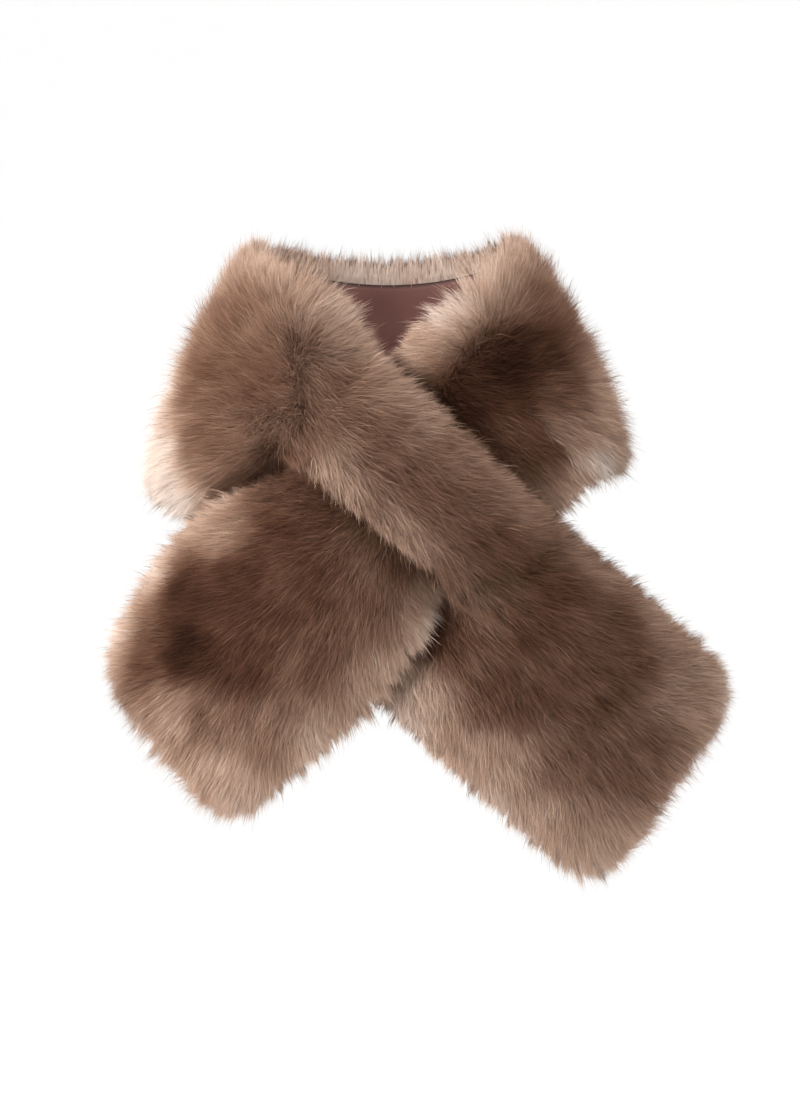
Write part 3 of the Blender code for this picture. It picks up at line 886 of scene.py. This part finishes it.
def hair_shapes(root, bend, tip, across, fine):
    """Points and faces of hairs: a fine one is a triangle, and a long one bends once."""
    left, right = root - across * 0.5, root + across * 0.5
    broad = across * BEND_WIDTH
    fine_points = np.stack((left, right, tip), 1)[:fine].reshape(-1, 3)
    long_points = np.stack((left, right, bend + broad, bend - broad, tip), 1)[fine:].reshape(-1, 3)
    first = fine * 3 + np.arange(len(root) - fine)[:, None] * 5
    faces = [
        np.arange(fine)[:, None] * 3 + np.array((0, 1, 2)),
        first + np.array((0, 1, 2, 3)),
        first + np.array((3, 2, 4)),
    ]
    return np.concatenate((fine_points, long_points)), faces


def hair_map(light, spread, reach):
    """Map places for hairs of one kind. Pale hairs are pale from nearer the root."""
    low, high = MAP_ENDS
    across = light[:, None] + np.array(spread) * MAP_HALF_WIDTH
    base = low + PALE_LIFT * smooth(*PALE_FROM, light)[:, None]
    up = base + (high - base) * np.array(reach)
    return np.stack((across, up), -1).reshape(-1, 2)


def grow_undercoat(panel, material):
    """The dense short wool that the long hairs stand in."""
    cells = panel.cells()
    points = panel.inner.reshape(-1, 3)
    if panel.facing < 0:
        cells = cells[:, ::-1]
    made, loops = new_mesh("undercoat_" + panel.name, points, [cells], material)
    reach = UNDERCOAT_REACH + random_waves(points, UNDERCOAT_WAVE)
    places = np.stack((panel.shade.ravel(), reach), 1)
    set_map(made.data, "OFBake", loops, places)
    return made


def node(tree, kind, **values):
    """A node of a tree, with its settings."""
    made = tree.nodes.new(kind)
    for key, value in values.items():
        setattr(made, key, value)
    return made


def pile_colour_group(look):
    """A group that turns shade and reach into the colour of a hair."""
    group = bpy.data.node_groups.new("pile_colour", "ShaderNodeTree")
    group.interface.new_socket("Shade", in_out="INPUT", socket_type="NodeSocketFloat")
    group.interface.new_socket("Reach", in_out="INPUT", socket_type="NodeSocketFloat")
    group.interface.new_socket("Colour", in_out="OUTPUT", socket_type="NodeSocketColor")
    put, got = node(group, "NodeGroupInput"), node(group, "NodeGroupOutput")
    tone = node(group, "ShaderNodeValToRGB")
    tone.color_ramp.elements[0].color = (*look.darkest, 1.0)
    tone.color_ramp.elements[1].color = (*look.lightest, 1.0)
    for place, value in ((0.28, look.dark), (0.5, look.middle), (0.76, look.light)):
        tone.color_ramp.elements.new(place).color = (*value, 1.0)
    # Darker toward the root: partly the wool's own tipping, partly painted shade deep in the pile.
    depth = node(group, "ShaderNodeValToRGB")
    depth.color_ramp.elements[0].color = (*[look.root_depth] * 3, 1.0)
    depth.color_ramp.elements[1].color = (1.0, 1.0, 1.0, 1.0)
    mix = node(group, "ShaderNodeMix", data_type="RGBA", blend_type="MULTIPLY")
    mix.inputs["Factor"].default_value = 1.0
    group.links.new(put.outputs["Shade"], tone.inputs["Fac"])
    group.links.new(put.outputs["Reach"], depth.inputs["Fac"])
    group.links.new(tone.outputs["Color"], mix.inputs["A"])
    group.links.new(depth.outputs["Color"], mix.inputs["B"])
    group.links.new(mix.outputs["Result"], got.inputs["Colour"])
    return group


def fur_material(name, group, look, roughness):
    material = bpy.data.materials.new(name)
    material.use_nodes = True
    tree = material.node_tree
    shader = tree.nodes["Principled BSDF"]
    places = node(tree, "ShaderNodeUVMap", uv_map="OFBake")
    parts = node(tree, "ShaderNodeSeparateXYZ")
    colour = node(tree, "ShaderNodeGroup", node_tree=group)
    tree.links.new(places.outputs["UV"], parts.inputs["Vector"])
    tree.links.new(parts.outputs["X"], colour.inputs["Shade"])
    tree.links.new(parts.outputs["Y"], colour.inputs["Reach"])
    tree.links.new(colour.outputs["Colour"], shader.inputs["Base Color"])
    shader.inputs["Roughness"].default_value = roughness
    shader.inputs["Specular IOR Level"].default_value = look.gloss
    return material


def satin_material(look):
    material = bpy.data.materials.new("satin")
    material.use_nodes = True
    tree = material.node_tree
    shader = tree.nodes["Principled BSDF"]
    coords = node(tree, "ShaderNodeTexCoord")
    # Noise mixes the satin's shaded and lit colours: painted sheen and shade across the satin.
    sheen_clouds = node(tree, "ShaderNodeTexNoise")
    sheen_clouds.inputs["Scale"].default_value = 14.0
    ramp = node(tree, "ShaderNodeValToRGB")
    ramp.color_ramp.elements[0].color = (*look.satin_dark, 1.0)
    ramp.color_ramp.elements[1].color = (*look.satin_light, 1.0)
    ramp.color_ramp.elements[0].position = 0.3
    ramp.color_ramp.elements[1].position = 0.75
    places = node(tree, "ShaderNodeUVMap", uv_map="hem")
    parts = node(tree, "ShaderNodeSeparateXYZ")
    # The satin darkens to 0.12 of its colour near its edges: painted shadow where the wool overhangs
    # it.
    hem = node(tree, "ShaderNodeMapRange")
    hem.inputs["To Min"].default_value = 0.12
    hem.inputs["From Max"].default_value = look.hem / HEM_REACH
    shaded = node(tree, "ShaderNodeVectorMath", operation="SCALE")
    weave = node(tree, "ShaderNodeTexWave", wave_type="BANDS", bands_direction="DIAGONAL")
    weave.inputs["Scale"].default_value = 900.0
    weave.inputs["Distortion"].default_value = 1.5
    bump = node(tree, "ShaderNodeBump")
    bump.inputs["Strength"].default_value = 0.12
    bump.inputs["Distance"].default_value = 0.0002
    tree.links.new(places.outputs["UV"], parts.inputs["Vector"])
    tree.links.new(parts.outputs["X"], hem.inputs["Value"])
    tree.links.new(coords.outputs["Object"], sheen_clouds.inputs["Vector"])
    tree.links.new(coords.outputs["Object"], weave.inputs["Vector"])
    tree.links.new(sheen_clouds.outputs["Fac"], ramp.inputs["Fac"])
    tree.links.new(ramp.outputs["Color"], shaded.inputs["Vector"])
    tree.links.new(hem.outputs["Result"], shaded.inputs["Scale"])
    tree.links.new(shaded.outputs["Vector"], shader.inputs["Base Color"])
    tree.links.new(weave.outputs["Fac"], bump.inputs["Height"])
    tree.links.new(bump.outputs["Normal"], shader.inputs["Normal"])
    shader.inputs["Roughness"].default_value = 0.5
    shader.inputs["Specular IOR Level"].default_value = 0.15
    return material


def lining_grids(name):
    """The front and back points of a lining, behind the skin of its panel."""
    wide = (SAG_HALF_WIDTH - OVERHANG) / SAG_HALF_WIDTH
    c = np.linspace(-wide, wide, LINING_COLUMNS)
    if name == "slit_end":
        side = np.linspace(LIP, wide, LINING_SIDE_COLUMNS)
        c = np.concatenate((-side[::-1], side))
        start, end = SLIT_END_SEAM + GAP, SLIT_END_LENGTH - OVERHANG - LINING_SHORT
    elif name == "pull_front":
        start, end = PULL_END_SEAM, PULL_SPLIT
    elif name == "pull_tail":
        start, end = PULL_SPLIT - GAP, OVERHANG + LINING_SHORT - PULL_END_LENGTH
    else:
        start, end = NECK_SEAMS[name]
    s = np.linspace(start, end, LINING_ROWS.get(name, NECK_LINING_ROWS))
    s, c = np.meshgrid(s, c, indexing="ij")
    if name == "slit_end":
        return slit_lining(s, c / wide)
    if name.startswith("pull"):
        return pull_lining(s, c / wide)
    return neck_lining(s, c / wide)


def slit_lining(u, share):
    high, low = curve(SLIT_END, u)
    left = SLIT_END_LENGTH - u
    half = (high - low) / 2.0 * end_share(left - LINING_END, SLIT_END_ROUND) - OVERHANG
    middle = np.where(share > 0.0, 0.5, -0.5) * (high + low)
    v = (middle + np.maximum(half, 1.0)) * share
    skin = slit_skin(u, v)
    along = u + skewed(u, v - (high + low) / 2.0, SLIT_END_SKEW)
    return chest(along, v, skin - GAP), chest(along, v, skin - GAP - LINING)


def pull_lining(v, share):
    left, right = curve(PULL_END, v)[:2]
    middle = (left + right) / 2.0
    to_end = PULL_END_LENGTH + v
    half = (right - left) / 2.0 * end_share(to_end - LINING_END, PULL_END_ROUND) - OVERHANG
    u = middle + np.maximum(half, 1.0) * share
    skin = pull_skin(u, v)[0]
    across = v + skewed(-v, u - middle, PULL_END_SKEW)
    return chest(u, across, skin - GAP), chest(u, across, skin - GAP - LINING)


def neck_lining(at, share):
    """The lining round the neck, pressed back where the pulled end lies on the fur."""
    middle, across, out, half = neck_frame(at)
    w = (half - OVERHANG) * share
    skin = neck_skin(middle, across, out, w)
    pressed = neck_surface(at, w / half, False)[..., 1] / MM + LEAST_THICKNESS
    skin[..., 1] = np.where(at < FRONT_KNOT, np.maximum(skin[..., 1], pressed), skin[..., 1])
    drape = fold_depth(at, w)[..., None]
    return (skin - out * (GAP + drape)) * MM, (skin - out * (GAP + LINING + drape)) * MM


def fold_depth(at, w):
    """How far the loose satin stands off the skin inside the neck."""
    flat = 1.0 - smooth(*FOLD_FADES, np.abs(w) / FOLD_HALF_LENGTH)
    folds = [depth * np.exp(-(((at - knot) / wide) ** 2)) for knot, depth, wide in FOLDS]
    return sum(folds) * flat


def edge_walls(quads, count):
    """Walls from each open edge of a layer of quads to the layer that lies count points on."""
    a, b = quads.ravel(), np.roll(quads, -1, axis=1).ravel()
    edges = np.minimum(a, b) * count + np.maximum(a, b)
    _, first, times = np.unique(edges, return_index=True, return_counts=True)
    a, b = a[first[times == 1]], b[first[times == 1]]
    return np.stack((a, b, b + count, a + count), 1)


def sew_lining(name, material):
    """A lining with its thickness, and a map of how near its hems are, for the painted shadow along
    them.
    """
    outer, inner = lining_grids(name)
    rows, columns = outer.shape[:2]
    count = rows * columns
    i, j = np.meshgrid(np.arange(rows - 1), np.arange(columns - 1), indexing="ij")
    a = i * columns + j
    if name == "slit_end":
        middle = (outer[1:, 1:] + outer[:-1, :-1]) / 2.0 - np.array((SLIT_X, 0.0, SLIT_Z)) * MM
        at_slit = (j == columns // 2 - 1) & (np.abs(middle @ ALONG) < SLIT_LENGTH / 2 * MM)
        a = a[~at_slit]
    a = a.ravel()
    quads = np.stack((a, a + columns, a + columns + 1, a + 1), 1)
    points = np.concatenate((outer.reshape(-1, 3), inner.reshape(-1, 3)))
    faces = np.concatenate((quads[:, ::-1], quads + count, edge_walls(quads, count)))
    made, loops = new_mesh("satin_" + name, points, [faces], material)
    to_hem = [np.linalg.norm(outer - outer[:, [k]], axis=2) for k in (0, -1)]
    inside = np.minimum(np.minimum(*to_hem).ravel() / HEM_REACH, 1.0)
    places = np.stack((np.tile(inside, 2), np.full(2 * count, 0.5)), 1)
    set_map(made.data, "hem", loops, places)
    return made


def colour(name, words, value):
    return bpy.props.FloatVectorProperty(
        name=name, description=words, default=value, subtype="COLOR", min=0.0, max=1.0
    )


class ScarfPile(bpy.types.PropertyGroup):
    """How the pile looks."""

    hair_length: bpy.props.FloatProperty(
        name="Hair length",
        description="Length of a hair above the undercoat",
        default=0.017,
        unit="LENGTH",
    )
    hair_width: bpy.props.FloatProperty(
        name="Hair width",
        description="Width of a hair at its root",
        default=0.00031,
        precision=5,
        unit="LENGTH",
    )
    lock_size: bpy.props.FloatProperty(
        name="Lock size",
        description="How far apart the locks are that hairs gather into",
        default=0.006,
        precision=4,
        unit="LENGTH",
    )
    lock: bpy.props.FloatProperty(
        name="Locks", description="How far hairs are drawn into locks", default=0.12
    )
    edge_lock: bpy.props.FloatProperty(
        name="Edge locks", description="How much more they are along the outline", default=0.32
    )
    # Painted light: hairs at the outline are made paler, as light shining through the wool's edge.
    painted_rim_light: bpy.props.FloatProperty(
        name="Pale outline", description="How much lighter hairs are at the outline", default=0.06
    )
    wisp: bpy.props.FloatProperty(
        name="Wisps",
        description="How far past the outline the longest hairs reach",
        default=0.01,
        precision=4,
        unit="LENGTH",
    )
    loose: bpy.props.FloatProperty(
        name="Loose", description="How much longer hairs are at the loose panels' edges", default=1.5
    )
    thinning: bpy.props.FloatProperty(
        name="Thinning",
        description="How far inside the outline the hairs begin to thin out",
        default=0.006,
        precision=4,
        unit="LENGTH",
    )
    stray_height: bpy.props.FloatProperty(
        name="Stray height",
        description="How far the highest long hairs stand above the rest",
        default=0.007,
        precision=4,
        unit="LENGTH",
    )
    stand_off: bpy.props.FloatProperty(
        name="Stand-off",
        description="The most that any hair stands above the pile",
        default=0.013,
        precision=4,
        unit="LENGTH",
    )
    shade_spread: bpy.props.FloatProperty(
        name="Shade spread", description="How much neighbouring hairs differ", default=0.065
    )
    gloss: bpy.props.FloatProperty(
        name="Gloss", description="Specular level of a hair", default=0.02
    )
    # Roots darker than tips: partly the wool's own tipping, partly painted shade deep in the pile.
    root_depth: bpy.props.FloatProperty(
        name="Root depth", description="How light a root is beside its tip", default=0.4
    )
    darkest: colour("Darkest", "Tips of the darkest wool", (0.03, 0.012, 0.007))
    dark: colour("Dark", "Tips of dark wool", (0.135, 0.058, 0.034))
    middle: colour("Middle", "Tips of middling wool", (0.32, 0.177, 0.118))
    light: colour("Light", "Tips of light wool", (0.65, 0.43, 0.315))
    lightest: colour("Lightest", "Tips of the lightest wool", (0.88, 0.735, 0.64))


class ScarfLining(bpy.types.PropertyGroup):
    """How the satin looks."""

    # The one satin's shaded and lit colours, which noise mixes into painted sheen.
    satin_dark: colour("Satin in shade", "Darker satin", (0.14, 0.064, 0.055))
    satin_light: colour("Satin in light", "Lighter satin", (0.3, 0.148, 0.127))
    # Painted shadow: a dark line along the satin's edges, where the wool overhangs them.
    hem: bpy.props.FloatProperty(
        name="Hem shade",
        description="Width of the dark line where the satin meets the wool",
        default=0.003,
        precision=4,
        unit="LENGTH",
    )


class ScarfStage(bpy.types.PropertyGroup):
    """Floor, lights and camera."""

    floor_colour: colour("Floor", "Colour of the floor and backdrop", (0.92, 0.92, 0.92))
    fill: bpy.props.FloatProperty(
        name="Fill", description="Strength of the light from all round", default=1.05
    )
    key: bpy.props.FloatProperty(
        name="Key", description="Power of the soft light above, to the left", default=31.0, unit="POWER"
    )
    distance: bpy.props.FloatProperty(
        name="Camera distance", description="Camera to scarf", default=2.0, unit="LENGTH"
    )


class SCARF_OT_undercoat(bpy.types.Operator):
    """Make the undercoat of every panel"""

    bl_idname = "scarf.undercoat"
    bl_label = "Undercoat"

    def execute(self, context):
        look = context.scene.scarf_pile
        group = bpy.data.node_groups.get("pile_colour") or pile_colour_group(look)
        material = fur_material("undercoat", group, look, UNDERCOAT_ROUGHNESS)
        for name in PANELS:
            made = grow_undercoat(panel(name), material)
            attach(made, "root")
            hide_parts(name)
        return {"FINISHED"}


class SCARF_OT_hairs(bpy.types.Operator):
    """Grow the long hairs of every panel"""

    bl_idname = "scarf.hairs"
    bl_label = "Long hairs"

    def execute(self, context):
        look = context.scene.scarf_pile
        group = bpy.data.node_groups["pile_colour"]
        material = fur_material("long_hair", group, look, HAIR_ROUGHNESS)
        seed = 100
        grown = {name: [] for name in PANELS}
        for name, pieces, fine, long in HAIRS:
            for k in range(pieces):
                seed += 1
                title = f"hair_{name}_{k + 1}"
                made = grow_hairs(panel(name), title, fine, long, seed, look, material)
                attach(made, "root")
                grown[name].append(made)
        return {"FINISHED"}


class SCARF_OT_lining(bpy.types.Operator):
    """Sew the satin lining behind every panel"""

    bl_idname = "scarf.lining"
    bl_label = "Satin lining"

    def execute(self, context):
        material = satin_material(context.scene.scarf_lining)
        for name in PANELS:
            made = sew_lining(name, material)
            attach(made, "root")
            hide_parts("lining_" + name)
        return {"FINISHED"}


class SCARF_OT_stage(bpy.types.Operator):
    """Set the floor, the lights and the camera"""

    bl_idname = "scarf.stage"
    bl_label = "Stage"

    def execute(self, context):
        stage = context.scene.scarf_stage
        make_floor(stage)
        make_lights(stage)
        make_camera(stage)
        context.scene.view_settings.view_transform = "Standard"
        return {"FINISHED"}


def make_camera(stage):
    camera = bpy.data.objects.new("camera", bpy.data.cameras.new("camera"))
    camera.data.sensor_width = SENSOR
    camera.data.lens = SENSOR * stage.distance / FRAME_HEIGHT
    camera.location = FRAME_MIDDLE + Vector((0.0, -stage.distance, 0.0))
    camera.rotation_euler = (math.pi / 2, 0.0, 0.0)
    camera.data.clip_end = 20.0
    bpy.context.scene.collection.objects.link(camera)
    bpy.context.scene.camera = camera


def make_floor(stage):
    """A pale round floor that curves up into a wall all round."""
    low, wall, bend, top = -0.75, 4.5, 1.5, 2.0
    sides, steps = 64, 16
    profile = [(0.0, low)]
    for k in range(steps + 1):
        angle = math.pi / 2 * k / steps
        away = wall - bend + bend * math.sin(angle)
        profile.append((away, low + bend * (1.0 - math.cos(angle))))
    profile.append((wall, top))
    turns = np.linspace(0.0, 2.0 * math.pi, sides, endpoint=False)
    points = [(r * math.cos(a), r * math.sin(a), z) for r, z in profile for a in turns]
    i, j = np.meshgrid(np.arange(len(profile) - 1), np.arange(sides), indexing="ij")
    i, j, k = i.ravel() * sides, j.ravel(), (j.ravel() + 1) % sides
    faces = np.stack((i + j, i + k, i + sides + k, i + sides + j), 1)
    material = bpy.data.materials.new("floor")
    material.use_nodes = True
    shader = material.node_tree.nodes["Principled BSDF"]
    shader.inputs["Base Color"].default_value = (*stage.floor_colour, 1.0)
    shader.inputs["Roughness"].default_value = 0.9
    made, _ = new_mesh("floor", np.array(points), [faces], material)


def make_lights(stage):
    world = bpy.data.worlds.new("studio")
    world.use_nodes = True
    world.node_tree.nodes["Background"].inputs["Strength"].default_value = stage.fill
    world.node_tree.nodes["Background"].inputs["Color"].default_value = (1.0, 1.0, 1.0, 1.0)
    bpy.context.scene.world = world
    for name, place, size, share in LAMPS:
        light = bpy.data.objects.new(name, bpy.data.lights.new(name, "AREA"))
        light.data.size = size
        light.data.energy = stage.key * share
        light.location = place
        light.rotation_euler = (LAMP_AIM - light.location).to_track_quat("-Z", "Y").to_euler()
        bpy.context.scene.collection.objects.link(light)


class SCARF_PT_panel(bpy.types.Panel):
    """The scarf's builders in the sidebar"""

    bl_label = "Pull-through scarf"
    bl_space_type = "VIEW_3D"
    bl_region_type = "UI"
    bl_category = "Scarf"

    def draw(self, context):
        for made in OPERATORS:
            self.layout.operator(made.bl_idname)
        for group in (context.scene.scarf_pile, context.scene.scarf_lining, context.scene.scarf_stage):
            for name in group.__annotations__:
                self.layout.prop(group, name)


OPERATORS = (SCARF_OT_undercoat, SCARF_OT_hairs, SCARF_OT_lining, SCARF_OT_stage)
CLASSES = (ScarfPile, ScarfLining, ScarfStage, *OPERATORS, SCARF_PT_panel)
made_panels = {}


def panel(name):
    """A panel by its name, worked out once."""
    if name not in made_panels:
        made_panels[name] = Panel(name, bpy.context.scene.scarf_pile)
    return made_panels[name]


def register():
    for made in CLASSES:
        bpy.utils.register_class(made)
    bpy.types.Scene.scarf_pile = bpy.props.PointerProperty(type=ScarfPile)
    bpy.types.Scene.scarf_lining = bpy.props.PointerProperty(type=ScarfLining)
    bpy.types.Scene.scarf_stage = bpy.props.PointerProperty(type=ScarfStage)


def unregister():
    del bpy.types.Scene.scarf_pile, bpy.types.Scene.scarf_lining, bpy.types.Scene.scarf_stage
    for made in reversed(CLASSES):
        bpy.utils.unregister_class(made)


def main():
    register()
    bpy.ops.scarf.undercoat()
    bpy.ops.scarf.hairs()
    bpy.ops.scarf.lining()
    bpy.ops.scarf.stage()


if __name__ == "__main__":
    main()
